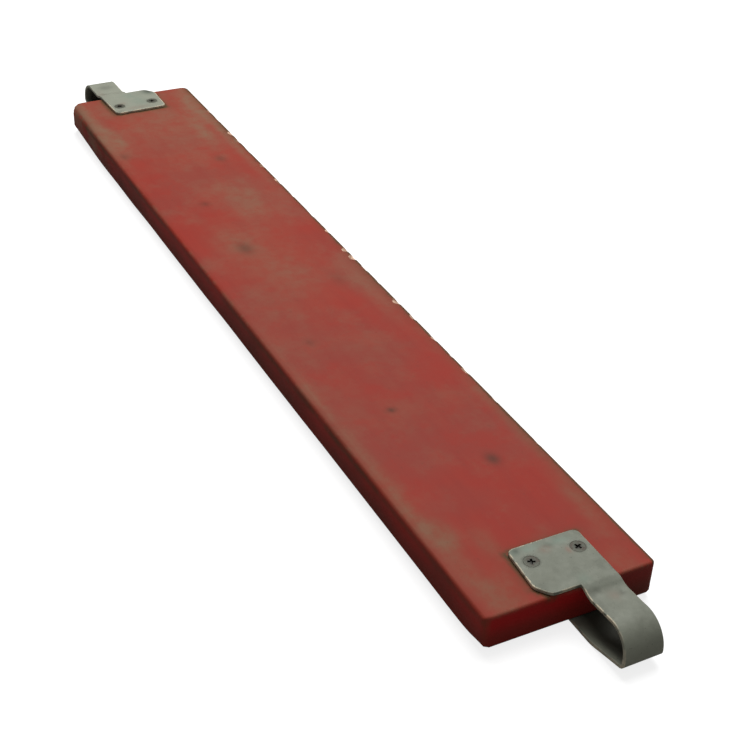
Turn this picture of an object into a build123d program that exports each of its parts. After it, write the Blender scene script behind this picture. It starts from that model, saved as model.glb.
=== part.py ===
from build123d import *
from math import cos, radians, sin
import os

# Scaffold plank: a timber toe board with a bent steel loop fitting screwed to each end.
# X runs along the board, Y across it and Z up. The board lies flat, resting on the lower legs of its two
# fittings. All sizes are in millimetres.

# Board
BOARD_LENGTH = 988.0
BOARD_WIDTH = 150.0
BOARD_THICKNESS = 31.0
BOARD_CORNER_RADII = {"rear left": 15.0, "front left": 5.0, "front right": 4.0, "rear right": 8.0}
BOARD_EDGE_RADIUS = 2.5

# Loop fitting. Positions on it are given as (inward, across): inward is the distance back from the board's
# end, and across is measured from the board's centre line.
STEEL = 3.0
PLATE_DEPTH = 55.0
PLATE_BACK_CORNER_ACROSS = -24.0
PLATE_SHOULDER_INWARD = 12.0
PLATE_SHOULDER_ACROSS = -27.0
PLATE_NOSE_ACROSS = -18.0
STRAP_EDGE = 38.8
STRAP_INNER_EDGE_TOP = 6.5
STRAP_INNER_EDGE_BELOW = 2.5
PLATE_CORNER_RADIUS = 6.0
PLATE_NOSE_RADIUS = 9.0
LEG_CORNER_RADIUS = 5.0
STEEL_EDGE_RADIUS = 0.7

# Side view of the loop, followed along the middle of the steel
STEP_ANGLE = 24.0
STEP_RADIUS_DOWN = 14.0
STEP_RADIUS_UP = 20.0
LOOP_RISE_ANGLE = 4.0
LOOP_RISE_LENGTH = 22.0
LOOP_CROWN_RADIUS = 21.4
LOOP_FRONT_LENGTH = 2.0
LOOP_TIP_RADIUS = 4.0
LOOP_TIP_ANGLE = 85.0
LEG_SLOPE_ANGLE = 12.0
LEG_EASE_RADIUS = 60.0

# The rear fitting is screwed on slightly askew
REAR_TURN = 2.5
REAR_SHIFT_OUT = 2.0
REAR_SHIFT_ACROSS = 4.8

# Countersunk wood screws: where each one is (inward, across), and how far its cross recess is turned
SCREW_LENGTH = 28.0
SCREW_HEAD_DIAMETER = 12.5
SCREW_SHANK_DIAMETER = 5.0
SCREW_POINT_LENGTH = 6.0
RECESS_WIDTH = 1.7
RECESS_SPAN = 6.0
RECESS_DEPTH = 2.2
RECESS_TAPER = 12.0
TOP_SCREWS = {"inner": (36.4, 28.4, 25.0), "outer": (36.4, -13.2, 65.0)}
LOWER_SCREWS = {"end": (15.0, 20.6, 15.0), "back": (46.0, 18.0, 50.0)}

HALF_LENGTH = BOARD_LENGTH / 2
TOP = BOARD_THICKNESS
HALF_TURN = 180.0


def make_board_blank():
    """The timber board, its underside at Z 0, with its corners rounded and all its edges eased."""
    outline = Rectangle(BOARD_LENGTH, BOARD_WIDTH)
    for name, radius in BOARD_CORNER_RADII.items():
        along = -1 if "rear" in name else 1
        across = -1 if "left" in name else 1
        corner = outline.vertices().sort_by(lambda point: along * point.X + across * point.Y)[-1]
        outline = fillet(corner, radius)
    blank = extrude(outline, BOARD_THICKNESS)
    rims = blank.faces().sort_by(Axis.Z)[0].edges() + blank.faces().sort_by(Axis.Z)[-1].edges()
    return fillet(rims, BOARD_EDGE_RADIUS)


def make_plate():
    """The flat plate on top of the board, in fitting coordinates: X is 0 at the board's end."""
    points = [
        (-PLATE_DEPTH, PLATE_BACK_CORNER_ACROSS),
        (-PLATE_SHOULDER_INWARD, PLATE_SHOULDER_ACROSS),
        (0.0, PLATE_NOSE_ACROSS),
        (0.0, STRAP_EDGE),
        (-PLATE_DEPTH, STRAP_EDGE),
    ]
    outline = make_face(Polyline(*points, close=True))
    back_corners = outline.vertices().filter_by(lambda corner: corner.X < -PLATE_SHOULDER_INWARD - STEEL)
    outline = fillet(back_corners, PLATE_CORNER_RADIUS)
    nose_corners = outline.vertices().filter_by(
        lambda corner: corner.Y < 0 and corner.X > -PLATE_SHOULDER_INWARD - STEEL
    )
    outline = fillet(nose_corners, PLATE_NOSE_RADIUS)
    return Pos(0, 0, TOP) * extrude(outline, STEEL)


def make_strap_path():
    """Middle line of the bent strap in side view: x is the distance out from the board, y is the height.

    The strap leaves the plate, steps down, rises gently, bends over the crown, drops, turns tightly at the
    tip and slopes back to run flat under the board.
    """
    middle = STEEL / 2
    run = Line((-PLATE_DEPTH / 2, TOP + middle), (1.0, TOP + middle))
    step_down = JernArc(run @ 1, run % 1, STEP_RADIUS_DOWN, -STEP_ANGLE)
    step_up = JernArc(step_down @ 1, step_down % 1, STEP_RADIUS_UP, STEP_ANGLE + LOOP_RISE_ANGLE)
    rise = Line(step_up @ 1, step_up @ 1 + (step_up % 1) * LOOP_RISE_LENGTH)
    crown = JernArc(rise @ 1, rise % 1, LOOP_CROWN_RADIUS, -(LOOP_RISE_ANGLE + LOOP_TIP_ANGLE))
    front = Line(crown @ 1, crown @ 1 + (crown % 1) * LOOP_FRONT_LENGTH)
    tip = JernArc(front @ 1, front % 1, LOOP_TIP_RADIUS, -(HALF_TURN - LEG_SLOPE_ANGLE - LOOP_TIP_ANGLE))
    leg_slope = radians(LEG_SLOPE_ANGLE)
    ease_height = LEG_EASE_RADIUS * (1 - cos(leg_slope)) - middle
    slope_length = ((tip @ 1).Y - ease_height) / sin(leg_slope)
    slope = Line(tip @ 1, tip @ 1 + (tip % 1) * slope_length)
    ease = JernArc(slope @ 1, slope % 1, LEG_EASE_RADIUS, -LEG_SLOPE_ANGLE)
    leg = Line(ease @ 1, (-PLATE_DEPTH, (ease @ 1).Y))
    return run + step_down + step_up + rise + crown + front + tip + slope + ease + leg


def strap_edge_at(height):
    """Where the strap's inner edge lies across the board: it widens steadily towards the lower leg."""
    share = (TOP + STEEL - height) / (TOP + 2 * STEEL)
    return STRAP_INNER_EDGE_TOP + share * (STRAP_INNER_EDGE_BELOW - STRAP_INNER_EDGE_TOP)


def make_fitting_blank():
    """One whole fitting without its screw holes, in fitting coordinates."""
    path = Plane.XZ * make_strap_path()
    section = Plane(path @ 0, x_dir=(0, 1, 0), z_dir=path % 0) * Rectangle(4 * STRAP_EDGE, STEEL)
    strip = sweep(section, path=path)
    high, low = 2 * TOP, -TOP
    trim = [
        (strap_edge_at(high), high),
        (STRAP_EDGE, high),
        (STRAP_EDGE, low),
        (strap_edge_at(low), low),
    ]
    trim_face = Plane.YZ * make_face(Polyline(*trim, close=True))
    strap = strip & extrude(trim_face, BOARD_WIDTH, both=True)
    leg_end = strap.faces().sort_by(Axis.X)[0]
    leg_corners = leg_end.edges().sort_by(SortBy.LENGTH)[:2]
    strap = fillet(leg_corners, LEG_CORNER_RADIUS)
    blank = make_plate() + strap
    return fillet(blank.edges(), STEEL_EDGE_RADIUS)


def make_screw_envelope():
    """The screw's outer shape, head flush at Z 0 and point downwards, with its recess filled."""
    head = SCREW_HEAD_DIAMETER / 2
    shank = SCREW_SHANK_DIAMETER / 2
    points = [
        (0, 0),
        (head, 0),
        (shank, shank - head),
        (shank, SCREW_POINT_LENGTH - SCREW_LENGTH),
        (0, -SCREW_LENGTH),
    ]
    return revolve(Plane.XZ * make_face(Polyline(*points, close=True)), Axis.Z)


def make_recess():
    """The cross recess cut into the screw's head, narrower at its bottom."""
    cross = Rectangle(RECESS_SPAN, RECESS_WIDTH) + Rectangle(RECESS_WIDTH, RECESS_SPAN)
    return extrude(cross, -RECESS_DEPTH, taper=RECESS_TAPER)


def screw_places():
    """Name, position and direction of each screw of a fitting, in fitting coordinates."""
    places = {}
    for name, (inward, across, turn) in TOP_SCREWS.items():
        places["top_screw_%s_" + name] = Pos(-inward, across, TOP + STEEL) * Rot(0, 0, turn)
    for name, (inward, across, turn) in LOWER_SCREWS.items():
        places["lower_screw_%s_" + name] = Pos(-inward, across, -STEEL) * Rot(HALF_TURN, 0, turn)
    return places


def end_location(end):
    """Where a fitting's own frame sits: at the front end, or turned end for end at the rear, a little askew."""
    if end == "front":
        return Pos(HALF_LENGTH, 0, 0)
    screw_line = TOP_SCREWS["inner"][0]
    askew = Pos(-screw_line, 0, 0) * Rot(0, 0, REAR_TURN) * Pos(screw_line, 0, 0)
    return Pos(-HALF_LENGTH - REAR_SHIFT_OUT, REAR_SHIFT_ACROSS, 0) * Rot(0, 0, HALF_TURN) * askew


fitting_blank = make_fitting_blank()
screw_envelope = make_screw_envelope()
screw = screw_envelope - make_recess()
board = make_board_blank()
nodes = {}
for end in ("front", "rear"):
    fitting = fitting_blank
    for name, place in screw_places().items():
        fitting -= place * screw_envelope
        world_place = end_location(end) * place
        board -= world_place * screw_envelope
        nodes[name % end] = world_place * screw
    nodes["loop_fitting_" + end] = end_location(end) * fitting
nodes["board"] = board

# The part stands on its two lower legs, with its origin at the bottom centre of the whole
whole = Compound(children=[Compound(node.wrapped) for node in nodes.values()]).bounding_box()
to_origin = Pos(-whole.center().X, -whole.center().Y, -whole.min.Z)
os.makedirs("parts", exist_ok=True)
for name, node in nodes.items():
    export_step(to_origin * node, "parts/" + name + ".step")
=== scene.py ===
from math import cos, pi, radians, sin

import bmesh
import bpy
import numpy as np
from mathutils import Matrix, Vector


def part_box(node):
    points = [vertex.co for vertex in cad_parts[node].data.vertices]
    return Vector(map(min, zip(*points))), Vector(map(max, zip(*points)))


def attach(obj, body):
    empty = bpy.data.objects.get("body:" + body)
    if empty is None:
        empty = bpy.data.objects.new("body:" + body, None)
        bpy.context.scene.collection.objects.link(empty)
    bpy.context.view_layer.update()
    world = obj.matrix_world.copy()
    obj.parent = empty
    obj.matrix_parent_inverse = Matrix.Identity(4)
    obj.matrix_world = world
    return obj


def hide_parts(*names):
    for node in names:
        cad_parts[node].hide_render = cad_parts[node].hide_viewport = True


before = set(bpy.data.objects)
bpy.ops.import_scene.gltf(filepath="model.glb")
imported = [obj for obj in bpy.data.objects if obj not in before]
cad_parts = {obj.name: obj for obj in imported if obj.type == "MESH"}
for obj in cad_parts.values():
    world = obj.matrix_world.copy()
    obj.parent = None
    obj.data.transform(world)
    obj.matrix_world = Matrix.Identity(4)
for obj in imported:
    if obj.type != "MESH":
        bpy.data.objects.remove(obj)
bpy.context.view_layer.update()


# ---- Board ----------------------------------------------------------------------------------------------
# Painted shade darkens its sides and lower half, and painted shadow joins the dirt along the plates' edges.
# A solid softwood board, planed, its edges eased, brushed with red oxide paint. Years of stacking have
# chipped its right long edge to the wood, rounded its rear left corner and rubbed dust into its face.
# Lengths are in millimetres until a mesh is filled.
BOARD_REAR, BOARD_FRONT = -493.146, 494.854
BOARD_HALF_WIDTH = 75.0
BOARD_THICKNESS = 31.0
BOARD_MIDDLE_HEIGHT = 18.5
BOARD_EDGE_RADIUS = 2.5
BOARD_STATIONS_ALONG, BOARD_STATIONS_ACROSS = 660, 42
MERGE_DISTANCE = 0.004
REAR_LEFT_RADIUS, REAR_RIGHT_RADIUS, FRONT_RIGHT_RADIUS, FRONT_LEFT_RADIUS = 15.0, 8.0, 4.0, 5.0

RED_PAINT = (0.262, 0.024, 0.014)
FADED_RED = (0.222, 0.034, 0.022)
DEEP_RED = (0.215, 0.021, 0.014)
SIDE_RED = (0.31, 0.018, 0.014)
END_RED = (0.34, 0.009, 0.009)
TRODDEN_DUST = (0.200, 0.098, 0.060)
# Dark stains, and painted shade on the sides, the lower half and the underside
DARK_STAIN_AND_SHADE = (0.060, 0.026, 0.015)
LINE_DIRT_AND_SHADE = (0.075, 0.042, 0.016)
WORN_EDGE = (0.200, 0.100, 0.062)
BARE_WOOD = (0.66, 0.45, 0.33)
DIRTY_WOOD = (0.17, 0.085, 0.050)

# Chips along the right long edge: place along, half length, depth, tilt of the broken face in degrees
EDGE_CHIPS = [
    (-410, 5, 0.7, 60), (-384, 8, 0.5, 50), (-340, 6, 1.2, 70), (-320, 9, 1.5, 68), (-290, 9, 0.6, 45),
    (-246, 5, 1.3, 72), (-202, 8, 1.5, 66), (-166, 6, 0.6, 50), (-118, 9, 0.6, 45), (-74, 6, 0.8, 60),
    (-31, 5, 1.3, 72), (-14, 6, 1.6, 68), (9, 8, 0.8, 50), (40, 5, 0.5, 40), (81, 7, 1.6, 70),
    (113, 6, 0.9, 60), (152, 8, 0.8, 55), (184, 5, 0.6, 50), (213, 7, 1.0, 62), (262, 5, 0.5, 50),
    (330, 5, 0.5, 50),
]
# Dirt and painted contact shadow gather along the edges of the two steel plates: the corners of each
# plate's edge on the board
PLATE_EDGES = [
    [(439.9, 38.8), (439.9, -24.0), (482.9, -27.0), (494.8, -18.0)],
    [(-493.4, -35.6), (-438.5, -33.2), (-441.2, 29.6), (-484.3, 30.7), (-493.1, 22.8)],
]
# Dark spots and dusty patches on the top: along, across, half length, half width, strength
TOP_STAINS = [
    (335, 28, 8, 6, 0.75), (240, -16, 4, 4, 0.75), (-73, -20, 13, 8, 0.55), (-181, -21, 6, 5, 0.45),
    (-280, 36, 8, 6, 0.40), (115, -34, 6, 4, 0.35), (-325, -62, 8, 5, 0.40), (20, 40, 16, 7, 0.22),
    # The next five darken spots along the chipped right edge
    (-48, 73.5, 5, 3, 0.95), (67, 74, 4, 3, 0.9), (106, 74, 6, 3, 0.9), (-258, 73, 4, 3, 0.85),
    (-346, 74, 4, 3, 0.8),
]
TOP_DUST = [
    (403, -57, 20, 10, 1.0), (310, -67, 60, 8, 0.55), (375, -68, 40, 7, 0.6), (441, -62, 30, 9, 0.55),
    (-374, -60, 28, 12, 0.95), (-360, 46, 50, 9, 0.6), (-173, 24, 60, 30, 0.6), (-18, -2, 70, 40, 0.55),
    (412, 62, 40, 8, 0.6), (-90, -25, 36, 22, 0.6), (300, 69, 90, 5, 0.5), (-440, 60, 40, 12, 0.6),
    (-470, -20, 22, 40, 0.35), (60, 60, 60, 10, 0.5), (462, 5, 26, 12, 0.35), (-300, 66, 120, 6, 0.5),
    (-400, 10, 110, 60, 0.60), (-440, -68, 90, 9, 0.9), (-420, 68, 90, 8, 0.7),
    (478, -52, 24, 16, 0.75), (484, 50, 18, 14, 0.45), (425, -32, 22, 9, 0.5), (200, -68, 90, 5, 0.5),
]


def rounded_outline(corners, radii, spacing):
    """A closed outline with rounded corners, counterclockwise.

    Each corner is replaced by the circle of its radius that touches both sides: the circle starts and ends
    radius * tan(half the turn) from the corner. Returns the points and the index of each arc's middle.
    """
    corners = np.array(corners, float)
    before = np.roll(corners, 1, axis=0) - corners
    after = np.roll(corners, -1, axis=0) - corners
    before /= np.linalg.norm(before, axis=1)[:, None]
    after /= np.linalg.norm(after, axis=1)[:, None]
    turns = np.arctan2(before[:, 1] * after[:, 0] - before[:, 0] * after[:, 1], -(before * after).sum(axis=1))
    reaches = np.array(radii) * np.abs(np.tan(turns / 2))
    runs, middles, count = [], [], 0
    for k, radius in enumerate(radii):
        turn, reach = turns[k], reaches[k]
        start = corners[k] + before[k] * reach
        side = np.sign(turn) * np.array([before[k, 1], -before[k, 0]])
        steps = 2 * max(2, int(np.ceil(abs(turn) * radius / spacing)))
        angle = np.linspace(0, abs(turn), steps + 1)
        ahead = np.outer(radius * np.sin(angle), -before[k])
        inward = np.outer(radius * (1 - np.cos(angle)), side)
        runs.append(start + ahead + inward)
        middles.append(count + steps // 2)
        count += steps + 1
        following = (k + 1) % len(corners)
        gap = corners[following] - corners[k]
        straight = np.linalg.norm(gap) - reach - reaches[following]
        pieces = max(1, int(straight / spacing))
        share = np.linspace(0, 1, pieces + 1)[1:-1, None]
        first = corners[k] + after[k] * reach
        last = corners[following] + before[following] * reaches[following]
        runs.append(first + (last - first) * share)
        count += len(share)
    return np.vstack(runs), middles


def along_line(points, shares):
    """Points at the given shares (0 to 1) of a line's own length."""
    run = np.concatenate([[0], np.cumsum(np.linalg.norm(np.diff(points, axis=0), axis=1))])
    return np.column_stack([np.interp(shares * run[-1], run, points[:, axis]) for axis in range(2)])


def blend_sides(low_side, high_side, start_side, end_side, v):
    """Fill an outline with a grid: blend the low and high sides across, and the start and end sides along,
    then take away the blend of the four corners that was counted twice."""
    u = np.linspace(0, 1, len(low_side))[:, None, None]
    v = v[None, :, None]
    across = (1 - v) * low_side[:, None] + v * high_side[:, None]
    along = (1 - u) * start_side[None] + u * end_side[None]
    low = (1 - u) * low_side[0] + u * low_side[-1]
    high = (1 - u) * high_side[0] + u * high_side[-1]
    return across + along - ((1 - v) * low + v * high)


def loop_round(low_side, end_side, high_side, start_side):
    """The four sides of a grid joined into one closed line, counterclockwise."""
    return np.vstack([low_side[:-1], end_side[:-1], high_side[:0:-1], start_side[:0:-1]])


def outward_normals(outline):
    """Outward direction at each point of a closed line: its neighbours' difference, turned clockwise."""
    ahead = np.roll(outline, -1, axis=0) - np.roll(outline, 1, axis=0)
    ahead /= np.linalg.norm(ahead, axis=1)[:, None]
    return np.column_stack([ahead[:, 1], -ahead[:, 0]])


def slab_rim(outline, normals, thickness, radius, arc_steps, wall_steps):
    """The rounded rim of a slab: a half-round, a straight wall and a half-round carried round the outline.

    A point at angle a of the upper arc lies radius * (1 - sin a) inside the outline and
    radius * (1 - cos a) below the top face.
    """
    angle = np.linspace(0, pi / 2, arc_steps + 1)
    inset = radius * (1 - np.sin(angle))
    height = thickness / 2 - radius * (1 - np.cos(angle))
    wall = np.linspace(thickness / 2 - radius, radius - thickness / 2, wall_steps + 1)[1:-1]
    inset = np.concatenate([inset, 0 * wall, inset[::-1]])
    height = np.concatenate([height, wall, -height[::-1]])
    flat = outline[:, None] - normals[:, None] * inset[None, :, None]
    return np.dstack([flat, np.broadcast_to(height, flat.shape[:2])])


def grid_faces(rows, columns, wrap=False, flip=False):
    """Four-cornered faces of a grid numbered row by row; wrap joins the last row to the first."""
    i = np.arange(rows if wrap else rows - 1)[:, None]
    j = np.arange(columns - 1)[None, :]
    after = (i + 1) % rows
    faces = np.stack(np.broadcast_arrays(i * columns + j, after * columns + j,
                                         after * columns + j + 1, i * columns + j + 1), axis=-1)
    faces = faces.reshape(-1, 4)
    return faces[:, ::-1] if flip else faces


def make_mesh(name, parts, marks, smooth_angle=40.0):
    """One closed mesh from several (points, faces) grids in millimetres, their shared seams merged.

    marks are named numbers, one for each point, which the materials read as attributes. Points that no face
    uses, such as those under a screw hole, are left out.
    """
    offset, points, faces = 0, [], []
    for part_points, part_faces in parts:
        points.append(part_points.reshape(-1, 3))
        faces.append(part_faces + offset)
        offset += len(points[-1])
    used, faces = np.unique(np.vstack(faces), return_inverse=True)
    points, faces = np.vstack(points)[used], faces.reshape(-1, 4)
    mesh = bpy.data.meshes.new(name)
    mesh.from_pydata((points / 1000).tolist(), [], faces.tolist())
    for mark, values in marks.items():
        layer = mesh.attributes.new(mark, "FLOAT", "POINT")
        layer.data.foreach_set("value", np.concatenate([v.ravel() for v in values])[used].astype(np.float32))
    working = bmesh.new()
    working.from_mesh(mesh)
    bmesh.ops.remove_doubles(working, verts=working.verts, dist=MERGE_DISTANCE / 1000)
    bmesh.ops.recalc_face_normals(working, faces=working.faces)
    working.to_mesh(mesh)
    working.free()
    mesh.shade_smooth()
    mesh.set_sharp_from_angle(angle=radians(smooth_angle))
    return mesh


def place(name, mesh, material, node):
    """Link one finished piece, which rides on the body and takes the place of its plain solid."""
    piece = bpy.data.objects.new(name, mesh)
    mesh.materials.append(material)
    bpy.context.scene.collection.objects.link(piece)
    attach(piece, "root")
    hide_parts(node)
    return piece


def patch(along, across, patches):
    """Sum of soft oval patches, at most 1: strength * exp(-(distance in half lengths and widths) ** 2)."""
    total = np.zeros(along.shape)
    for place_along, place_across, half_length, half_width, strength in patches:
        reach = ((along - place_along) / half_length) ** 2 + ((across - place_across) / half_width) ** 2
        total += strength * np.exp(-reach)
    return np.minimum(total, 1.0)


def rough_line(along, seed, spacing):
    """A rough line between 0 and 1: random heights at even spacing, joined by smooth steps."""
    heights = np.random.default_rng(seed).random(2 + int(2400 / spacing))
    steps = (along + 1200) / spacing
    whole = np.floor(steps).astype(int)
    share = steps - whole
    share = share * share * (3 - 2 * share)
    return heights[whole] * (1 - share) + heights[whole + 1] * share


def break_edge(points, bare):
    """Chip the right upper edge. Each chip is a tilted plane that the points beyond it are drawn back to."""
    along, across, height = points[..., 0], points[..., 1], points[..., 2]
    for number, (centre, half, depth, tilt) in enumerate(EDGE_CHIPS):
        lean_out, lean_up = cos(radians(tilt)), sin(radians(tilt))
        rim = BOARD_HALF_WIDTH - BOARD_EDGE_RADIUS
        top = BOARD_THICKNESS / 2 - BOARD_EDGE_RADIUS
        edge = rim * lean_out + top * lean_up + BOARD_EDGE_RADIUS
        ends = np.clip(1 - ((along - centre) / half) ** 2, 0, None) ** 0.6
        jagged = 0.60 + 0.6 * rough_line(along, number, 2.6)
        beyond = across * lean_out + height * lean_up - edge + depth * ends * jagged
        beyond = np.where(ends > 0, np.clip(beyond, 0, None), 0)
        across = across - beyond * lean_out
        height = height - beyond * lean_up
        bare = np.maximum(bare, np.clip(beyond / 0.5, 0, 1))
    return np.stack([along, across, height], axis=-1), bare


def ease_left_edges(points):
    """Wear the left edges rounder, most of all at the rear corner and under the front corner.

    Flat planes at even tilts, each just touching a round of the wanted radius, draw back the points beyond.
    """
    along, across, height = points[..., 0], points[..., 1], points[..., 2]
    radius = 3.4 + 8.0 * np.exp(-((along - BOARD_REAR) / 75) ** 2) + 1.2 * rough_line(along, 91, 55)
    for tilt in (15, 30, 45, 60, 75):
        lean_out, lean_up = cos(radians(tilt)), sin(radians(tilt))
        for up in (1, -1):
            worn = radius + (up < 0) * 5.0 * np.exp(-((BOARD_FRONT - along) / 16) ** 2)
            touching = (BOARD_HALF_WIDTH - worn) * lean_out + (BOARD_THICKNESS / 2 - worn) * lean_up + worn
            beyond = np.clip(-across * lean_out + up * height * lean_up - touching, 0, None)
            across = across + beyond * lean_out
            height = height - up * beyond * lean_up
    return np.stack([along, across, height], axis=-1)


def on_top_face(height):
    """1 on the top face and the upper part of the sides, fading to 0 at mid height."""
    return np.clip((height + 4) / 6, 0, 1)


def beside_line(along, across, corners):
    """Distance to a line of straight pieces: a piece's nearest point is its start plus a share of its run."""
    nearest = np.full(along.shape, 999.0)
    for (x0, y0), (x1, y1) in zip(corners[:-1], corners[1:]):
        run_x, run_y = x1 - x0, y1 - y0
        share = np.clip(((along - x0) * run_x + (across - y0) * run_y) / (run_x ** 2 + run_y ** 2), 0, 1)
        nearest = np.minimum(nearest, np.hypot(along - x0 - share * run_x, across - y0 - share * run_y))
    return nearest


def board_marks(points):
    """Edge wear, dust, stains and the end faces, worked out at every point of the board, with dirt and
    painted shadow along the plates and painted shade towards the bottom.
    """
    along, across, height = points[..., 0], points[..., 1], points[..., 2]
    to_side = BOARD_HALF_WIDTH - np.abs(across)
    to_end = np.minimum(along - BOARD_REAR, BOARD_FRONT - along)
    to_face = BOARD_THICKNESS / 2 - np.abs(height)
    nearest = np.sort(np.stack([to_side, to_end, to_face]), axis=0)
    edge = np.exp(-np.clip(nearest[0] + nearest[1] - 0.8, 0, None) / 3.0) * np.where(across > 60, 1.0, 0.8)
    edge = edge * (0.35 + 0.65 * rough_line(along + across, 31, 47))
    rear_left = np.exp(-((along - BOARD_REAR) / 130) ** 2) * np.clip((-across - 58) / 12, 0, 1)
    edge = np.maximum(edge, 1.1 * rear_left)
    # Dirt and painted shadow beside the plates: a dark line close along each plate's edge and a broader smear
    line = np.minimum(*(beside_line(along, across, corners) for corners in PLATE_EDGES))
    dirt = 0.9 * np.exp(-((line / 2.6) ** 2)) + 0.35 * np.exp(-line / 6.0)
    right_rim = 0.7 * np.exp(-((to_side / 7.0) ** 2)) * (across > 0) * (to_end > to_side)
    right_rim = right_rim * (0.3 + 0.7 * rough_line(along, 7, 45))
    dirt = np.maximum(dirt, right_rim) * np.clip((height - 9) / 5, 0, 1)
    left_band = np.exp(-(((height - 10.5) / 3.5) ** 2)) * (across < -72) * (to_end > to_side)
    dirt = np.maximum(dirt, left_band * (0.25 + 0.5 * rough_line(along, 17, 60)))
    on_top = on_top_face(height)
    side = np.clip(1 - to_side / 1.5, 0, 1) * np.clip(to_face / 3.0, 0, 1)
    end = np.clip(1 - to_end / 1.5, 0, 1) * np.clip(to_face / 3.0, 0, 1)
    # Painted shade towards the bottom: 1 from 6 mm below mid height down, 0 from 6 mm above it
    below = np.clip(-height / 12 + 0.5, 0, 1)
    dust = on_top * patch(along, across, TOP_DUST)
    stain = np.clip((height - 8) / 5, 0, 1) * patch(along, across, TOP_STAINS)
    # The end faces darken beside the outer edge of each loop
    stain = np.maximum(stain, 0.5 * end * np.clip((np.abs(across) - 36) / 5, 0, 1) * (across * along > 0))
    return {"edge": edge, "dust": dust, "stain": stain, "line_dirt_and_shade": dirt, "side": side, "end": end,
            "below": below}


def make_board():
    """A slab with rounded rim: top and bottom grids finer towards the right edge, and the rim between."""
    corners = [(BOARD_REAR, -BOARD_HALF_WIDTH), (BOARD_FRONT, -BOARD_HALF_WIDTH),
               (BOARD_FRONT, BOARD_HALF_WIDTH), (BOARD_REAR, BOARD_HALF_WIDTH)]
    radii = (REAR_LEFT_RADIUS, FRONT_LEFT_RADIUS, FRONT_RIGHT_RADIUS, REAR_RIGHT_RADIUS)
    outline, middle = rounded_outline(corners, radii, 1.0)
    outline = np.vstack([outline[middle[0]:], outline[:middle[0] + 1]])
    stops = [0] + [m - middle[0] for m in middle[1:]] + [len(outline) - 1]
    low, end, high, start = (outline[a:b + 1] for a, b in zip(stops[:-1], stops[1:]))
    share_along = np.linspace(0, 1, BOARD_STATIONS_ALONG)
    share_along = share_along - 0.012 * np.sin(2 * pi * share_along)
    fine = np.linspace(0, 1, BOARD_STATIONS_ACROSS)
    share_across = fine + 0.22 * fine * (1 - fine) * (1 + 1.6 * fine) + 0.06 * np.sin(2 * pi * fine)
    low, high = along_line(low, share_along), along_line(high[::-1], share_along)
    start, end = along_line(start[::-1], share_across), along_line(end, share_across)
    ring = loop_round(low, end, high, start)
    rim = slab_rim(ring, outward_normals(ring), BOARD_THICKNESS, BOARD_EDGE_RADIUS, 5, 10)
    count, last = len(low), len(start)
    border = rim[:, 0, :2]
    inner_low = border[:count]
    inner_end = border[count - 1:count + last - 1]
    inner_high = border[count + last - 2:2 * count + last - 2][::-1]
    inner_start = np.vstack([border[2 * count + last - 3:], border[:1]])[::-1]
    face = blend_sides(inner_low, inner_high, inner_start, inner_end, share_across)
    top = np.dstack([face, np.full(face.shape[:2], BOARD_THICKNESS / 2)])
    bottom = np.dstack([face, np.full(face.shape[:2], -BOARD_THICKNESS / 2)])
    faces = [grid_faces(*top.shape[:2]), grid_faces(*top.shape[:2], flip=True),
             grid_faces(*rim.shape[:2], wrap=True, flip=True)]
    parts, marks = [], {}
    for points, quads in zip((top, bottom, rim), faces):
        here = board_marks(points)
        points, here["bare"] = break_edge(ease_left_edges(points), np.zeros(points.shape[:2]))
        for mark, values in here.items():
            marks.setdefault(mark, []).append(values)
        parts.append((points + (0, 0, BOARD_MIDDLE_HEIGHT), quads))
    return make_mesh("board", parts, marks)


def add_node(tree, kind, settings=None, **inputs):
    """Add one shader node; keyword inputs are numbers, colours or the sockets they are fed from."""
    node = tree.nodes.new(kind)
    for name, value in (settings or {}).items():
        setattr(node, name, value)
    # An input goes by its name, or by an underscore and its number where several share a name
    for name, value in inputs.items():
        socket = node.inputs[int(name[1:])] if name[0] == "_" else node.inputs[name.replace("_", " ")]
        if isinstance(value, bpy.types.NodeSocket):
            tree.links.new(value, socket)
        elif isinstance(value, tuple) and len(value) == 3 and socket.type == "RGBA":
            socket.default_value = (*value, 1.0)
        else:
            socket.default_value = value
    return node


def cloudy(tree, where, scale, detail=3.0, roughness=0.55, stretch=None):
    """Soft random pattern between 0 and 1, which stretch can draw out along an axis."""
    if stretch:
        where = add_node(tree, "ShaderNodeMapping", Vector=where, Scale=stretch).outputs["Vector"]
    return add_node(tree, "ShaderNodeTexNoise", Vector=where, Scale=scale, Detail=detail,
                    Roughness=roughness).outputs["Fac"]


def between(tree, value, low, high):
    """0 below low, 1 above high and a smooth step between."""
    smooth = {"interpolation_type": "SMOOTHSTEP"}
    step = add_node(tree, "ShaderNodeMapRange", smooth, _0=value, _1=low, _2=high)
    return step.outputs["Result"]


def reckon(tree, operation, first, second):
    """One sum on two values, kept between 0 and 1. MULTIPLY_ADD goes on to add one half."""
    sums = {"operation": operation, "use_clamp": True}
    return add_node(tree, "ShaderNodeMath", sums, _0=first, _1=second).outputs["Value"]


def coat(tree, under, over, mask):
    """The over colour laid on the under colour where the mask is 1."""
    mix = add_node(tree, "ShaderNodeMix", {"data_type": "RGBA"}, _0=mask, _6=under, _7=over)
    return mix.outputs[2]


def attribute(tree, name):
    """A number that the mesh carries at each of its points."""
    return add_node(tree, "ShaderNodeAttribute", {"attribute_name": name}).outputs["Fac"]


def start_material(name, metallic):
    """An empty surface: its node tree, its shader and the place on the piece."""
    material = bpy.data.materials.new(name)
    material.use_nodes = True
    tree = material.node_tree
    shader = tree.nodes["Principled BSDF"]
    shader.inputs["Metallic"].default_value = metallic
    where = add_node(tree, "ShaderNodeTexCoord").outputs["Object"]
    return material, tree, shader, where


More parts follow.
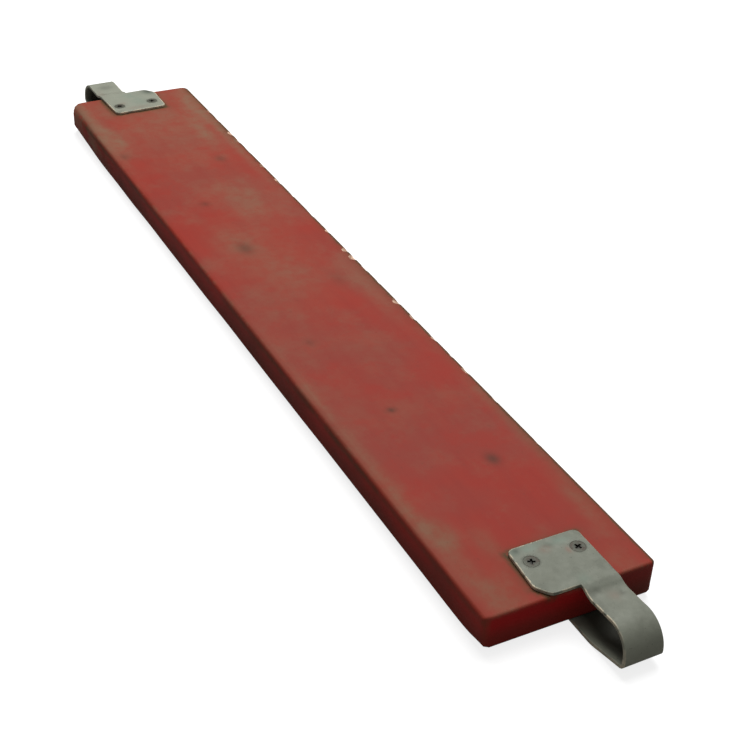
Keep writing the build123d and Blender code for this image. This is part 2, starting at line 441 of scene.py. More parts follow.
def make_ragged_patches():
    """Ragged patches: a large soft pattern plus a finer one, cut off where their sum passes the threshold."""
    group = bpy.data.node_groups.new("ragged_patches", "ShaderNodeTree")
    for name, kind in (("Where", "NodeSocketVector"), ("Size", "NodeSocketFloat"),
                       ("Threshold", "NodeSocketFloat"), ("Softness", "NodeSocketFloat")):
        group.interface.new_socket(name, in_out="INPUT", socket_type=kind)
    group.interface.new_socket("Mask", in_out="OUTPUT", socket_type="NodeSocketFloat")
    given = group.nodes.new("NodeGroupInput").outputs
    finer = add_node(group, "ShaderNodeMath", {"operation": "MULTIPLY"}, _0=given["Size"], _1=5.3)
    large = cloudy(group, given["Where"], given["Size"], 2.0)
    small = cloudy(group, given["Where"], finer.outputs["Value"], 4.0, 0.7)
    both = add_node(group, "ShaderNodeMath", {"operation": "MULTIPLY_ADD"}, _0=small, _1=0.45, _2=large)
    limit = add_node(group, "ShaderNodeMath", {"operation": "ADD"},
                     _0=given["Threshold"], _1=given["Softness"])
    mask = between(group, both.outputs["Value"], given["Threshold"], limit.outputs["Value"])
    group.links.new(mask, group.nodes.new("NodeGroupOutput").inputs["Mask"])
    return group


ragged_patches = make_ragged_patches()


def patches(tree, where, size, threshold, softness):
    """Place the ragged patches group and return its mask."""
    placed = add_node(tree, "ShaderNodeGroup", {"node_tree": ragged_patches}, Where=where, Size=size,
                      Threshold=threshold, Softness=softness)
    return placed.outputs["Mask"]


def make_painted_timber():
    """Red oxide paint over softwood: mottled, streaked along the grain, dusty, stained and chipped, with
    painted shade on the sides and lower half and painted shadow beside the plates.
    """
    material, tree, shader, where = start_material("painted_timber", 0.0)
    place_now = add_node(tree, "ShaderNodeSeparateXYZ", Vector=where).outputs
    grain = cloudy(tree, where, 1.0, 5.0, 0.6, (9, 190, 190))
    brushed = cloudy(tree, where, 1.0, 3.0, 0.5, (14, 90, 90))
    paint = coat(tree, RED_PAINT, FADED_RED, between(tree, cloudy(tree, where, 11, 3.0), 0.35, 0.68))
    paint = coat(tree, paint, DEEP_RED, reckon(tree, "MULTIPLY", between(tree, brushed, 0.42, 0.75), 0.35))
    paint = coat(tree, paint, RED_PAINT, reckon(tree, "MULTIPLY", patches(tree, where, 38, 0.70, 0.25), 0.5))
    dust_cover = reckon(tree, "ADD", attribute(tree, "dust"),
                        reckon(tree, "MULTIPLY", patches(tree, where, 13, 0.66, 0.30), 0.25))
    uneven = between(tree, cloudy(tree, where, 60, 4.0, 0.65), 0.25, 0.70)
    paint = coat(tree, paint, TRODDEN_DUST, reckon(tree, "MULTIPLY", dust_cover,
                                                   reckon(tree, "MULTIPLY_ADD", uneven, 0.5)))
    smudged = reckon(tree, "MULTIPLY", patches(tree, where, 26, 0.70, 0.30),
                     between(tree, place_now["Z"], 0.030, 0.033))
    paint = coat(tree, paint, TRODDEN_DUST, reckon(tree, "MULTIPLY", smudged, 0.13))
    flecks = between(tree, cloudy(tree, where, 230, 2.0, 0.5), 0.66, 0.74)
    paint = coat(tree, paint, DARK_STAIN_AND_SHADE, reckon(tree, "MULTIPLY", flecks, 0.12))
    side = attribute(tree, "side")
    end = attribute(tree, "end")
    paint = coat(tree, paint, SIDE_RED, reckon(tree, "MULTIPLY", side, 0.9))
    paint = coat(tree, paint, END_RED, end)
    paint = coat(tree, paint, DARK_STAIN_AND_SHADE, attribute(tree, "stain"))
    # Grime and painted shade on the sides: patchy darkening of the side faces
    side_grime_and_shade = reckon(tree, "MULTIPLY", side, between(tree, cloudy(tree, where, 16, 4.0), 0.35, 0.8))
    paint = coat(tree, paint, DARK_STAIN_AND_SHADE, reckon(tree, "MULTIPLY", side_grime_and_shade, 0.55))
    # Painted shade: the sides and ends darken towards the bottom, and everything below mid height a little
    # more
    low_side = reckon(tree, "MULTIPLY", reckon(tree, "MAXIMUM", side, end), attribute(tree, "below"))
    paint = coat(tree, paint, DARK_STAIN_AND_SHADE, reckon(tree, "MULTIPLY", low_side, 0.3))
    paint = coat(tree, paint, DARK_STAIN_AND_SHADE, reckon(tree, "MULTIPLY", attribute(tree, "below"), 0.25))
    ragged = between(tree, cloudy(tree, where, 75, 5.0, 0.7), 0.36, 0.62)
    gathered = reckon(tree, "MULTIPLY", attribute(tree, "line_dirt_and_shade"), reckon(tree, "ADD", ragged, 0.45))
    scuffed = between(tree, cloudy(tree, where, 33, 6.0, 0.75), 0.34, 0.66)
    rubbed = reckon(tree, "MULTIPLY", attribute(tree, "edge"), scuffed)
    paint = coat(tree, paint, WORN_EDGE, reckon(tree, "MULTIPLY", between(tree, rubbed, 0.12, 0.8), 0.8))
    # Dirt along the edges, with painted shadow along the plates
    paint = coat(tree, paint, LINE_DIRT_AND_SHADE, gathered)
    wander = add_node(tree, "ShaderNodeMath", {"operation": "MULTIPLY_ADD"},
                      _0=cloudy(tree, where, 90, 3.0), _1=0.003, _2=place_now["Y"]).outputs["Value"]
    edge_line = reckon(tree, "MULTIPLY", between(tree, wander, 0.0722, 0.0738),
                       between(tree, place_now["Z"], 0.030, 0.032))
    paint = coat(tree, paint, LINE_DIRT_AND_SHADE, reckon(tree, "MULTIPLY", edge_line, 0.8))
    fibres = cloudy(tree, where, 1.0, 3.0, 0.6, (90, 320, 320))
    soiled = reckon(tree, "MAXIMUM", between(tree, fibres, 0.38, 0.66),
                    between(tree, cloudy(tree, where, 45, 3.0), 0.47, 0.60))
    wood = coat(tree, BARE_WOOD, DIRTY_WOOD, soiled)
    bare = attribute(tree, "bare")
    crumbled = reckon(tree, "MULTIPLY", bare, between(tree, cloudy(tree, where, 120, 3.0), 0.28, 0.42))
    paint = coat(tree, paint, wood, between(tree, crumbled, 0.3, 0.7))
    tree.links.new(paint, shader.inputs["Base Color"])
    worn = reckon(tree, "MAXIMUM", reckon(tree, "MULTIPLY", dust_cover, 0.6), bare)
    rough = add_node(tree, "ShaderNodeMapRange", _0=worn, _3=0.62, _4=0.9).outputs["Result"]
    tree.links.new(rough, shader.inputs["Roughness"])
    shader.inputs["Specular IOR Level"].default_value = 0.13
    lumps = add_node(tree, "ShaderNodeMath", {"operation": "MULTIPLY_ADD"}, _0=cloudy(tree, where, 420, 3.0),
                     _1=0.35, _2=grain).outputs["Value"]
    raised = add_node(tree, "ShaderNodeBump", Strength=0.6, Distance=0.0003, Height=lumps)
    tree.links.new(raised.outputs["Normal"], shader.inputs["Normal"])
    return material


place("painted_board", make_board(), make_painted_timber(), "board")


# ---- Loop fittings --------------------------------------------------------------------------------------
# Each is one blank cut from 3 mm galvanised plate: a wide top plate and a narrower strap, bent down off the
# plate, out and round into a loop, and back under the board. The blank is worked out flat, then bent.
STEEL = 3.0
STEEL_EDGE_RADIUS = 0.7
PLATE_DEPTH = 55.0
PLATE_BACK_CORNER = (-55.0, -24.0)
PLATE_SHOULDER = (-12.0, -27.0)
PLATE_NOSE = (0.0, -18.0)
STRAP_EDGE = 38.8
STRAP_INNER_EDGE_TOP = 6.5
STRAP_INNER_EDGE_BELOW = 2.5
PLATE_CORNER_RADIUS = 6.0
PLATE_NOSE_RADIUS = 9.0
STRAP_ROOT_RADIUS = 0.8
LEG_CORNER_RADIUS = 5.0
STRAP_STATIONS = 116
# Side view of the bent strap, followed along the middle of the steel: a bend's radius and its turn, or a
# straight's length
STRAP_START = 1.0
STEP_DOWN = (14.0, -24.0)
STEP_UP = (20.0, 28.0)
LOOP_RISE = 22.0
CROWN = (21.4, -89.0)
LOOP_FRONT = 2.0
TIP = (4.0, -83.0)
LEG_SLOPE = 12.0
LEG_EASE = (60.0, -12.0)
TOP_SCREWS = {"inner": (-36.4, 28.4, 25.0), "outer": (-36.4, -13.2, 65.0)}
LOWER_SCREWS = {"end": (-15.0, 20.6, 15.0), "back": (-46.0, 18.0, 50.0)}
HEAD_RADIUS = 6.25
HOLE_BLOCK_REACH = 8.2
# The rear fitting is screwed on slightly askew, turned about the line of its top screws
REAR_SHIFT_OUT = 2.0
REAR_SHIFT_ACROSS = 4.8
REAR_TURN = 2.5
SCREW_LINE = 36.4
FITTING_PLACES = {
    "front": Matrix.Translation((BOARD_FRONT, 0, STEEL)),
    "rear": Matrix.Translation((BOARD_REAR - REAR_SHIFT_OUT, REAR_SHIFT_ACROSS, STEEL))
            @ Matrix.Rotation(pi, 4, "Z")
            @ Matrix.Translation((-SCREW_LINE, 0, 0)) @ Matrix.Rotation(radians(REAR_TURN), 4, "Z")
            @ Matrix.Translation((SCREW_LINE, 0, 0)),
}


def strap_line():
    """The side view as straight and curved runs: for each, its start along the strap, its place, its heading
    and its bend, which is 1 / radius."""
    half = STEEL / 2
    runs = [(STRAP_START + PLATE_DEPTH, 0.0)]
    for radius, turn in (STEP_DOWN, STEP_UP):
        runs.append((radius * abs(radians(turn)), radians(turn) / (radius * abs(radians(turn)))))
    runs.append((LOOP_RISE, 0.0))
    runs.append((CROWN[0] * abs(radians(CROWN[1])), -1 / CROWN[0]))
    runs.append((LOOP_FRONT, 0.0))
    runs.append((TIP[0] * abs(radians(TIP[1])), -1 / TIP[0]))
    starts = []
    place_now = np.array([-PLATE_DEPTH, BOARD_THICKNESS + half])
    heading = 0.0
    run_start = -PLATE_DEPTH

    def follow(length, bend):
        nonlocal place_now, heading, run_start
        starts.append((run_start, *place_now, heading, bend))
        if bend:
            after = heading + bend * length
            step = np.array([sin(after) - sin(heading), cos(heading) - cos(after)])
            place_now = place_now + step / bend
        else:
            place_now = place_now + length * np.array([cos(heading), sin(heading)])
        heading += bend * length
        run_start += length

    for length, bend in runs:
        follow(length, bend)
    slope = radians(LEG_SLOPE)
    ease_height = LEG_EASE[0] * (1 - cos(slope)) - half
    follow((place_now[1] - ease_height) / sin(slope), 0.0)
    follow(LEG_EASE[0] * slope, radians(LEG_EASE[1]) / (LEG_EASE[0] * slope))
    follow(place_now[0] + PLATE_DEPTH, 0.0)
    return np.array(starts), run_start


STRAP_RUNS, STRAP_END = strap_line()


def bend_strap(points):
    """Bend the flat blank: each point is carried to its place along the side view's line, then moved off that
    line by its own share of the thickness, square to the line's heading there."""
    along = points[..., 0]
    run = np.clip(np.searchsorted(STRAP_RUNS[:, 0], along, side="right") - 1, 0, None)
    start, x, z, heading, bend = (STRAP_RUNS[run, column] for column in range(5))
    length = along - start
    now = heading + bend * length
    safe = np.where(bend == 0, 1.0, bend)
    out = np.where(bend == 0, length * np.cos(heading), (np.sin(now) - np.sin(heading)) / safe)
    rise = np.where(bend == 0, length * np.sin(heading), (np.cos(heading) - np.cos(now)) / safe)
    return np.stack([x + out - points[..., 2] * np.sin(now), points[..., 1],
                     z + rise + points[..., 2] * np.cos(now)], axis=-1)


def blank_outline():
    """The flat blank's outline: its plate corners, and the strap's inner edge, which widens as it falls."""
    # The last station stays clear of the leg's rounded end, or the outline would fold back on itself there
    stations = np.linspace(3.0, STRAP_END - LEG_CORNER_RADIUS - 2.0, STRAP_STATIONS)
    middle_line = bend_strap(np.column_stack([stations, 0 * stations, 0 * stations]))
    share = (BOARD_THICKNESS + STEEL - middle_line[:, 2]) / (BOARD_THICKNESS + 2 * STEEL)
    inner = STRAP_INNER_EDGE_TOP + share * (STRAP_INNER_EDGE_BELOW - STRAP_INNER_EDGE_TOP)
    corners = [PLATE_BACK_CORNER, PLATE_SHOULDER, PLATE_NOSE, (0.0, STRAP_INNER_EDGE_TOP)]
    radii = [PLATE_CORNER_RADIUS, PLATE_NOSE_RADIUS, PLATE_NOSE_RADIUS, STRAP_ROOT_RADIUS]
    corners += list(zip(stations, inner))
    radii += [0.0] * len(stations)
    corners += [(STRAP_END, inner[-1]), (STRAP_END, STRAP_EDGE), (-PLATE_DEPTH, STRAP_EDGE)]
    radii += [LEG_CORNER_RADIUS, LEG_CORNER_RADIUS, PLATE_CORNER_RADIUS]
    return corners, radii


def screw_hole(block, centre, place_grid):
    """A countersunk hole in place of a block of the face grid.

    Rings run in from the block's border to the hole's rim, down the cone at 45 degrees, and out again below:
    a ring at share q lies at border * (1 - q) + circle * q.
    """
    i0, i1, j0, j1 = block
    border = np.vstack([place_grid[i0:i1, j0], place_grid[i1, j0:j1], place_grid[i1:i0:-1, j1],
                        place_grid[i0, j1:j0:-1]])
    away = border - centre
    away /= np.linalg.norm(away, axis=1)[:, None]
    half = STEEL / 2
    rings = []
    for share, radius, height in (
            (0, 0, half), (0.3, 7.6, half), (0.6, 7.0, half), (1, HEAD_RADIUS + 0.35, half),
            (1, HEAD_RADIUS + 0.12, half - 0.06), (1, HEAD_RADIUS - 0.05, half - 0.25),
            (1, HEAD_RADIUS - STEEL + 0.1, 0.1 - half), (1, HEAD_RADIUS - STEEL + 0.35, -half),
            (0.5, 6.0, -half), (0, 0, -half)):
        circle = centre + away * radius
        flat = border * (1 - share) + circle * share
        rings.append(np.column_stack([flat, np.full(len(flat), height)]))
    return np.stack(rings, axis=1)


def fitting_parts():
    """The blank as grids, still flat: top and bottom faces less their hole blocks, the rim, and the holes."""
    corners, radii = blank_outline()
    outline, middle = rounded_outline(corners, radii, 0.9)
    outline = np.vstack([outline[middle[0]:], outline[:middle[0] + 1]])
    stops = [0] + [middle[k] - middle[0] for k in (-3, -2, -1)] + [len(outline) - 1]
    low, end, high, start = (outline[a:b + 1] for a, b in zip(stops[:-1], stops[1:]))
    high = high[::-1]
    shares = np.linspace(0, 1, 330)
    low = along_line(low, shares)
    # The outer side's stations keep level with the inner side's, and creep forward while that rounds the nose
    before_nose = np.flatnonzero(low[:, 0] < PLATE_SHOULDER[0] - 4)[-1]
    after_nose = np.flatnonzero((low[:, 0] > 5) & (np.arange(len(low)) > before_nose))[0]
    level = low[:, 0].copy()
    creep = np.linspace(level[before_nose], level[after_nose], after_nose - before_nose + 1)
    level[before_nose:after_nose + 1] = creep
    run = np.concatenate([[0], np.cumsum(np.linalg.norm(np.diff(high, axis=0), axis=1))])
    high_shares = np.interp(level, high[:, 0], run / run[-1])
    high_shares[0], high_shares[-1] = 0.0, 1.0
    high = along_line(high, np.maximum.accumulate(high_shares))
    across = np.linspace(0, 1, 54)
    start, end = along_line(start[::-1], across), along_line(end, across)
    ring = loop_round(low, end, high, start)
    rim = slab_rim(ring, outward_normals(ring), STEEL, STEEL_EDGE_RADIUS, 4, 3)
    count, last = len(low), len(start)
    border = rim[:, 0, :2]
    inner_low = border[:count]
    inner_end = border[count - 1:count + last - 1]
    inner_high = border[count + last - 2:2 * count + last - 2][::-1]
    inner_start = np.vstack([border[2 * count + last - 3:], border[:1]])[::-1]
    face = blend_sides(inner_low, inner_high, inner_start, inner_end, across)
    half = STEEL / 2
    leg_base = STRAP_END - PLATE_DEPTH
    holes = [(inward, sideways) for inward, sideways, turn in TOP_SCREWS.values()]
    holes += [(leg_base - inward, sideways) for inward, sideways, turn in LOWER_SCREWS.values()]
    keep = np.ones((face.shape[0] - 1, face.shape[1] - 1), bool)
    parts = []
    for centre in holes:
        centre = np.array(centre)
        reach = np.abs(face - centre)
        inside = (reach < HOLE_BLOCK_REACH).all(axis=-1)
        rows, columns = np.flatnonzero(inside.any(1)), np.flatnonzero(inside.any(0))
        block = rows[0], rows[-1], columns[0], columns[-1]
        keep[block[0]:block[1], block[2]:block[3]] = False
        hole = screw_hole(block, centre, face)
        parts.append((hole, grid_faces(*hole.shape[:2], wrap=True)))
    top = np.dstack([face, np.full(face.shape[:2], half)])
    bottom = np.dstack([face, np.full(face.shape[:2], -half)])
    quads = grid_faces(*face.shape[:2])[keep.ravel()]
    parts += [(top, quads), (bottom, quads[:, ::-1]), (rim, grid_faces(*rim.shape[:2], wrap=True, flip=True))]
    return parts, ring, holes


GALVANISED = (0.150, 0.160, 0.125)
DULLED_ZINC = (0.118, 0.126, 0.097)
PALE_ZINC = (0.205, 0.212, 0.170)
BRIGHT_ZINC = (0.300, 0.310, 0.245)
RUBBED_RIM_AND_HIGHLIGHT = (0.50, 0.44, 0.32)
# Grime, and painted shade inside the loop
STEEL_GRIME_AND_SHADE = (0.035, 0.037, 0.025)
RUST_SMEAR = (0.20, 0.105, 0.075)
GREEN_BLOOM = (0.15, 0.21, 0.165)
# Marks on each flat blank: along, across, half length, half width, strength
GRIME_SPOTS = {
    "front": [(-51, -18, 3.5, 4, 0.6), (2.5, 24, 1.8, 20, 0.25), (18, 31, 3.5, 3.0, 0.40),
              (9, 15, 3, 3.0, 0.30), (-47, 8, 3, 6, 0.25), (16, 10, 9, 2, 0.2), (-10, -20, 5, 3, 0.2)],
    "rear": [(-52, 33, 3, 5, 0.3), (-6, -20, 9, 7, 0.75), (30, 22, 6, 9, 0.35), (10, 30, 4, 4, 0.3)],
}
RUST_SPOTS = {
    "front": [(-36, 20, 3.5, 2.5, 0.7), (-44, 4, 4, 5, 0.45), (18, 24, 6, 5, 0.25)],
    "rear": [(-48, 10, 4, 14, 0.3), (-30, 22, 4, 4, 0.3), (12, 34, 10, 3, 0.3)],
}
BLOOM_SPOTS = {
    "front": [(-50, -6, 4, 9, 0.8), (-48, 18, 4, 9, 0.7), (-4, 12, 6, 5, 0.4), (-51, -20, 4, 5, 0.5)],
    "rear": [(-30, 0, 14, 10, 0.5), (-10, 6, 8, 9, 0.5), (-8, -20, 8, 8, 0.6)],
}


def make_fitting(end):
    """Mark the flat blank with its wear, bend it, and carry it to its end of the board."""
    parts, ring, holes = fitting_parts()
    turned = np.array(FITTING_PLACES[end])
    finished, marks = [], {"rim": [], "grime": [], "rust": [], "bloom": [], "inside": [], "fresh": []}
    for points, quads in parts:
        flat = points[..., :2]
        # Distance to the outline, taken a stretch of it at a time to spare memory
        spread = np.full(flat.shape[:2], 99.0)
        for first in range(0, len(ring), 60):
            some = ring[first:first + 60]
            spread = np.minimum(spread, np.linalg.norm(flat[:, :, None] - some, axis=-1).min(axis=-1))
        outer = points[..., 2] > -0.9
        # Rims are knocked bright and carry a painted highlight: most on the inner side and round the rear
        # plate, least at the strap's root
        knocked_and_highlit = 0.55 + 0.75 * np.clip((14 - flat[..., 1]) / 12, 0, 1)
        knocked_and_highlit *= 1 - 0.5 * np.exp(-(((flat[..., 0] + 2) / 5) ** 2))
        knocked_and_highlit = np.maximum(knocked_and_highlit, 1.1 * (end == "rear") * (flat[..., 0] < -20))
        marks["rim"].append(np.exp(-(spread / 1.2) ** 2) * knocked_and_highlit * np.where(outer, 1.0, 0.5))
        grime = patch(flat[..., 0], flat[..., 1], GRIME_SPOTS[end])
        for hole in holes:
            from_hole = np.linalg.norm(flat - hole, axis=-1)
            grime = np.maximum(grime, 0.55 * np.exp(-np.clip(from_hole - HEAD_RADIUS, 0, None) / 0.9))
        marks["grime"].append(grime)
        marks["rust"].append(patch(flat[..., 0], flat[..., 1], RUST_SPOTS[end]))
        marks["bloom"].append(patch(flat[..., 0], flat[..., 1], BLOOM_SPOTS[end]))
        # Painted shade inside the loop: the inner faces darken towards the middle of the strap's width
        deep = np.clip((flat[..., 1] - 6.0) / 9.0, 0, 1) * np.clip((STRAP_EDGE - flat[..., 1]) / 9.0, 0, 1)
        marks["inside"].append(np.where(outer, 0.0, deep))
        # Brighter zinc: the whole rear fitting, and the front one from its crown on
        crown = np.clip((flat[..., 0] - 42) / 25, 0, 1)
        marks["fresh"].append(np.ones_like(crown) if end == "rear" else 0.91 * crown)
        # The bent part wavers a little, only ever inwards, so it never stands proud of its plain solid
        hammered = 0.1 * (np.sin(flat[..., 0] / 9.0 + flat[..., 1] / 17.0) - 1.2)
        hammered *= np.clip((flat[..., 0] - 20) / 15, 0, 1)
        hammered *= np.clip((STRAP_END - 70 - flat[..., 0]) / 20, 0, 1)
        bent = bend_strap(np.dstack([flat, points[..., 2] + hammered]))
        finished.append((bent @ turned[:3, :3].T + turned[:3, 3], quads))
    return make_mesh("loop_fitting_" + end, finished, marks, smooth_angle=50.0)


def make_weathered_steel():
    """Galvanised steel gone dull: uneven zinc, rims rubbed bright with a painted highlight, grime round the
    screws, painted shade inside the loop, faint rust and bloom.
    """
    material, tree, shader, where = start_material("weathered_steel", 0.18)
    steel = coat(tree, GALVANISED, DULLED_ZINC, patches(tree, where, 32, 0.66, 0.35))
    steel = coat(tree, steel, PALE_ZINC, reckon(tree, "MULTIPLY", patches(tree, where, 70, 0.76, 0.30), 0.35))
    flakes = add_node(tree, "ShaderNodeTexVoronoi", Vector=where, Scale=260.0).outputs["Color"]
    fleck = add_node(tree, "ShaderNodeSeparateColor", Color=flakes).outputs["Red"]
    steel = coat(tree, steel, PALE_ZINC, reckon(tree, "MULTIPLY", between(tree, fleck, 0.55, 1.0), 0.22))
    steel = coat(tree, steel, BRIGHT_ZINC, reckon(tree, "MULTIPLY", attribute(tree, "fresh"), 0.55))
    ragged = between(tree, cloudy(tree, where, 140, 4.0, 0.65), 0.30, 0.62)
    bloom = reckon(tree, "MULTIPLY", attribute(tree, "bloom"), reckon(tree, "ADD", ragged, 0.3))
    steel = coat(tree, steel, GREEN_BLOOM, reckon(tree, "MULTIPLY", bloom, 0.8))
    rust = reckon(tree, "MULTIPLY", attribute(tree, "rust"), reckon(tree, "ADD", ragged, 0.25))
    steel = coat(tree, steel, RUST_SMEAR, rust)
    bright = between(tree, cloudy(tree, where, 45, 3.0, 0.6), 0.30, 0.70)
    # Rubbed rims with a painted highlight
    rim = reckon(tree, "MULTIPLY", attribute(tree, "rim"), reckon(tree, "ADD", ragged, 0.2))
    rim = between(tree, rim, 0.2, 0.9)
    steel = coat(tree, steel, RUBBED_RIM_AND_HIGHLIGHT, reckon(tree, "MULTIPLY", rim, reckon(tree, "ADD", bright, 0.25)))
    grime = reckon(tree, "MULTIPLY", attribute(tree, "grime"), reckon(tree, "ADD", ragged, 0.55))
    steel = coat(tree, steel, STEEL_GRIME_AND_SHADE, grime)
    specks = between(tree, cloudy(tree, where, 520, 2.0), 0.68, 0.76)
    steel = coat(tree, steel, STEEL_GRIME_AND_SHADE, reckon(tree, "MULTIPLY", specks, 0.45))
    # Painted shade on the loop's inner faces
    steel = coat(tree, steel, STEEL_GRIME_AND_SHADE, reckon(tree, "MULTIPLY", attribute(tree, "inside"), 0.9))
    tree.links.new(steel, shader.inputs["Base Color"])
    dull = reckon(tree, "MAXIMUM", grime, cloudy(tree, where, 70, 3.0))
    rough = add_node(tree, "ShaderNodeMapRange", _0=dull, _1=0.3, _2=0.8, _3=0.55, _4=0.75).outputs["Result"]
    shader.inputs["Specular IOR Level"].default_value = 0.4
    tree.links.new(rough, shader.inputs["Roughness"])
    pitted = add_node(tree, "ShaderNodeMath", {"operation": "MULTIPLY_ADD"}, _0=cloudy(tree, where, 900, 3.0),
                      _1=0.4, _2=cloudy(tree, where, 130, 3.0)).outputs["Value"]
    raised = add_node(tree, "ShaderNodeBump", Strength=0.5, Distance=0.00035, Height=pitted)
    tree.links.new(raised.outputs["Normal"], shader.inputs["Normal"])
    return material


weathered_steel = make_weathered_steel()
for end in ("front", "rear"):
    place("strap_loop_" + end, make_fitting(end), weathered_steel, "loop_fitting_" + end)


# ---- Screws ---------------------------------------------------------------------------------------------
# Countersunk cross-head wood screws, turned, thread-rolled and blackened, driven flush with the steel. Two
# hold each top plate and two, driven from below, hold each lower leg. Dirt has packed their recesses.
HEAD_TOP_RADIUS = 6.1
SHANK_RADIUS = 2.4
SCREW_LENGTH = 28.0
POINT_LENGTH = 6.0
THREAD_PITCH = 2.4
RECESS_DEPTH = 2.2
RECESS_ARM_REACH = 3.0
RECESS_ARM_HALF_WIDTH = 0.8
HEAD_SQUARE = 3.6

SCREW_METAL = (0.080, 0.086, 0.062)
SCREW_RUST = (0.055, 0.036, 0.022)
PACKED_DIRT = (0.012, 0.012, 0.008)


def make_screw_parts():
    """The head's top is a square grid drawn out to a circle, sunk inside the cross. Its border is carried
    down the cone and the shank, whose radius swings with height and angle to make the thread."""
    half_line = [0.3, 0.72, 0.95, 2.0, 2.9, 3.12, HEAD_SQUARE, 4.2, 4.9, 5.5, HEAD_TOP_RADIUS]
    line = np.array([-v for v in half_line[::-1]] + half_line)
    x, y = np.meshgrid(line, line, indexing="ij")
    reach = np.maximum(np.abs(x), np.abs(y))
    distance = np.hypot(x, y)
    share = np.clip((reach - HEAD_SQUARE) / (HEAD_TOP_RADIUS - HEAD_SQUARE), 0, 1)
    shrink = (1 - share) * HEAD_SQUARE / reach
    grow = share * HEAD_TOP_RADIUS / distance
    stretch = np.where(reach > HEAD_SQUARE, shrink + grow, 1.0)
    arm = (np.minimum(np.abs(x), np.abs(y)) < RECESS_ARM_HALF_WIDTH) & (reach < RECESS_ARM_REACH)
    radius = np.hypot(x * stretch, y * stretch)
    dome = -0.12 * (radius / HEAD_TOP_RADIUS) ** 4
    recess = np.where(arm, 1.0, 0.0)
    depth = RECESS_DEPTH * (1.0 - 0.15 * distance / RECESS_ARM_REACH)
    head = np.stack([x * stretch, y * stretch, dome - depth * recess - 0.04], axis=-1)
    gathered = 0.85 * np.exp(-(radius / 3.4) ** 2) + 0.25 * np.exp(-((radius - 6.1) / 0.6) ** 2)
    dirt = np.maximum(recess, gathered)
    border = loop_round(head[:, 0], head[-1], head[:, -1], head[0])
    angle = np.arctan2(border[:, 1], border[:, 0])
    around = np.column_stack([np.cos(angle), np.sin(angle)])
    cone = [(HEAD_TOP_RADIUS, -0.16), (HEAD_TOP_RADIUS + 0.04, -0.3), (4.4, -1.95), (SHANK_RADIUS, -3.7)]
    rings = [np.column_stack([around * radius, np.full(len(around), height)]) for radius, height in cone]
    for height in np.arange(-4.4, -SCREW_LENGTH, -0.4):
        taper = np.clip((height + SCREW_LENGTH) / POINT_LENGTH, 0, 1) ** 0.8
        turn = (angle / (2 * pi) + height / THREAD_PITCH) % 1.0
        cut = np.clip(np.abs(turn - 0.5) * 4 - 0.9, 0, 1) * np.clip((-height - 6) / 2, 0, 1)
        radius = (SHANK_RADIUS - 0.75 * (np.clip((-height - 6) / 2, 0, 1) - cut)) * taper + 0.02
        rings.append(np.column_stack([around * radius[:, None], np.full(len(around), height)]))
    rings.append(np.tile([0.0, 0.0, -SCREW_LENGTH + 0.05], (len(around), 1)))
    body = np.stack(rings, axis=1)
    body = np.concatenate([border[:, None], body], axis=1)
    faces = [grid_faces(*head.shape[:2]), grid_faces(*body.shape[:2], wrap=True, flip=True)]
    return [(head, faces[0]), (body, faces[1])], [dirt, 0 * body[..., 0]]


def make_screw(name, at):
    """One screw carried from the origin, head up, to its own place and turn."""
    parts, dirt = make_screw_parts()
    turned = np.array(at)
    moved = [(points @ turned[:3, :3].T + turned[:3, 3], quads) for points, quads in parts]
    return make_mesh(name, moved, {"packed": dirt}, smooth_angle=35.0)


def make_screw_steel():
    """Blackened steel, dull and a little rusty, with dirt packed into the recess."""
    material, tree, shader, where = start_material("screw_steel", 0.3)
    rusted = between(tree, cloudy(tree, where, 260, 4.0, 0.65), 0.42, 0.66)
    metal = coat(tree, SCREW_METAL, SCREW_RUST, rusted)
    metal = coat(tree, metal, PACKED_DIRT, attribute(tree, "packed"))
    tree.links.new(metal, shader.inputs["Base Color"])
    shader.inputs["Roughness"].default_value = 0.6
    pitted = cloudy(tree, where, 700, 3.0)
    raised = add_node(tree, "ShaderNodeBump", Strength=0.5, Distance=0.0002, Height=pitted)
    tree.links.new(raised.outputs["Normal"], shader.inputs["Normal"])
    return material


screw_steel = make_screw_steel()
for end, fitting_place in FITTING_PLACES.items():
    for row, screws in (("top", TOP_SCREWS), ("lower", LOWER_SCREWS)):
        for name, (inward, across, turn) in screws.items():
            if row == "top":
                at = (Matrix.Translation((inward, across, BOARD_THICKNESS + STEEL))
                      @ Matrix.Rotation(radians(turn), 4, "Z"))
            else:
                at = (Matrix.Translation((inward, across, -STEEL)) @ Matrix.Rotation(pi, 4, "X")
                      @ Matrix.Rotation(radians(turn), 4, "Z"))
            node = row + "_screw_" + end + "_" + name
            mesh = make_screw(node, fitting_place @ at)
            place(node.replace("screw", "wood_screw"), mesh, screw_steel, node)


# ---- Floor, light and camera ----------------------------------------------------------------------------
# A plain white floor just under the legs, one large soft light high over the board's rear right, and a faint
# even fill. The floor and the surroundings look white to the camera and give the object only a dim light.
FLOOR_REACH = 9
FLOOR_HEIGHT = -0.0002
floor_mesh = bpy.data.meshes.new("floor")
floor_corners = [(-FLOOR_REACH, -FLOOR_REACH, FLOOR_HEIGHT), (FLOOR_REACH, -FLOOR_REACH, FLOOR_HEIGHT),
                 (FLOOR_REACH, FLOOR_REACH, FLOOR_HEIGHT), (-FLOOR_REACH, FLOOR_REACH, FLOOR_HEIGHT)]
floor_mesh.from_pydata(floor_corners, [], [(0, 1, 2, 3)])
floor = bpy.data.objects.new("floor", floor_mesh)
bpy.context.scene.collection.objects.link(floor)
white = bpy.data.materials.new("white_floor")
white.use_nodes = True
white_shader = white.node_tree.nodes["Principled BSDF"]
seen = add_node(white.node_tree, "ShaderNodeLightPath").outputs["Is Camera Ray"]
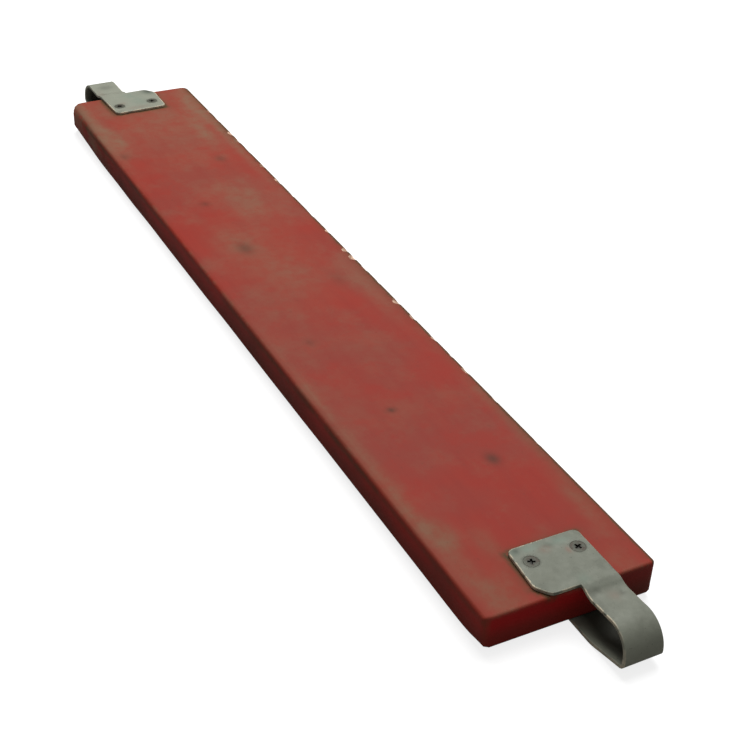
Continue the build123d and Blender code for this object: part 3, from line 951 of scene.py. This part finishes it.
white.node_tree.links.new(coat(white.node_tree, (0.29, 0.28, 0.27), (0.35, 0.35, 0.35), seen),
                          white_shader.inputs["Base Color"])
white.node_tree.links.new(coat(white.node_tree, (0.0, 0.0, 0.0), (0.8, 0.8, 0.8), seen),
                          white_shader.inputs["Emission Color"])
white_shader.inputs["Emission Strength"].default_value = 1.0
white_shader.inputs["Roughness"].default_value = 1.0
white_shader.inputs["Specular IOR Level"].default_value = 0.0
floor_mesh.materials.append(white)

world = bpy.data.worlds.new("fill")
bpy.context.scene.world = world
world.use_nodes = True
world.node_tree.nodes["Background"].inputs["Color"].default_value = (1, 1, 1, 1)
sky = add_node(world.node_tree, "ShaderNodeLightPath").outputs["Is Camera Ray"]
sky_strength = add_node(world.node_tree, "ShaderNodeMapRange", _0=sky, _3=0.24, _4=1.0).outputs["Result"]
world.node_tree.links.new(sky_strength, world.node_tree.nodes["Background"].inputs["Strength"])
key = bpy.data.objects.new("soft_light", bpy.data.lights.new("soft_light", "AREA"))
key.data.shape = "DISK"
key.data.size = 2.2
key.data.energy = 74
key.location = (-0.65, 0.6, 2.2)
key.rotation_euler = (Vector((0, 0, 0)) - key.location).to_track_quat("-Z", "Y").to_euler()
bpy.context.scene.collection.objects.link(key)

board_low, board_high = (Vector(corner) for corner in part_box("board"))
board_middle = (board_low + board_high) / 2
LOOK_ACROSS = radians(61.43)
LOOK_DOWN = radians(33.77)
CAMERA_ROLL = radians(2.655)
CAMERA_DISTANCE = 1.3
FOCAL_LENGTH = 67.46
AIM_AHEAD, AIM_ACROSS, AIM_BELOW_TOP = 0.1461, 0.0172, 0.030
aim = Vector((board_middle.x + AIM_AHEAD, board_middle.y + AIM_ACROSS, board_high.z - AIM_BELOW_TOP))
backward = Vector((sin(LOOK_ACROSS) * cos(LOOK_DOWN), -cos(LOOK_ACROSS) * cos(LOOK_DOWN), sin(LOOK_DOWN)))
level_right = Vector((cos(LOOK_ACROSS), sin(LOOK_ACROSS), 0.0))
level_up = backward.cross(level_right)
right = level_right * cos(CAMERA_ROLL) + level_up * sin(CAMERA_ROLL)
up = backward.cross(right)
camera = bpy.data.objects.new("camera", bpy.data.cameras.new("camera"))
camera.data.lens = FOCAL_LENGTH
turned = Matrix((right, up, backward)).transposed().to_4x4()
camera.matrix_world = Matrix.Translation(aim + backward * CAMERA_DISTANCE) @ turned
bpy.context.scene.collection.objects.link(camera)
bpy.context.scene.camera = camera
bpy.context.scene.view_settings.view_transform = "Standard"
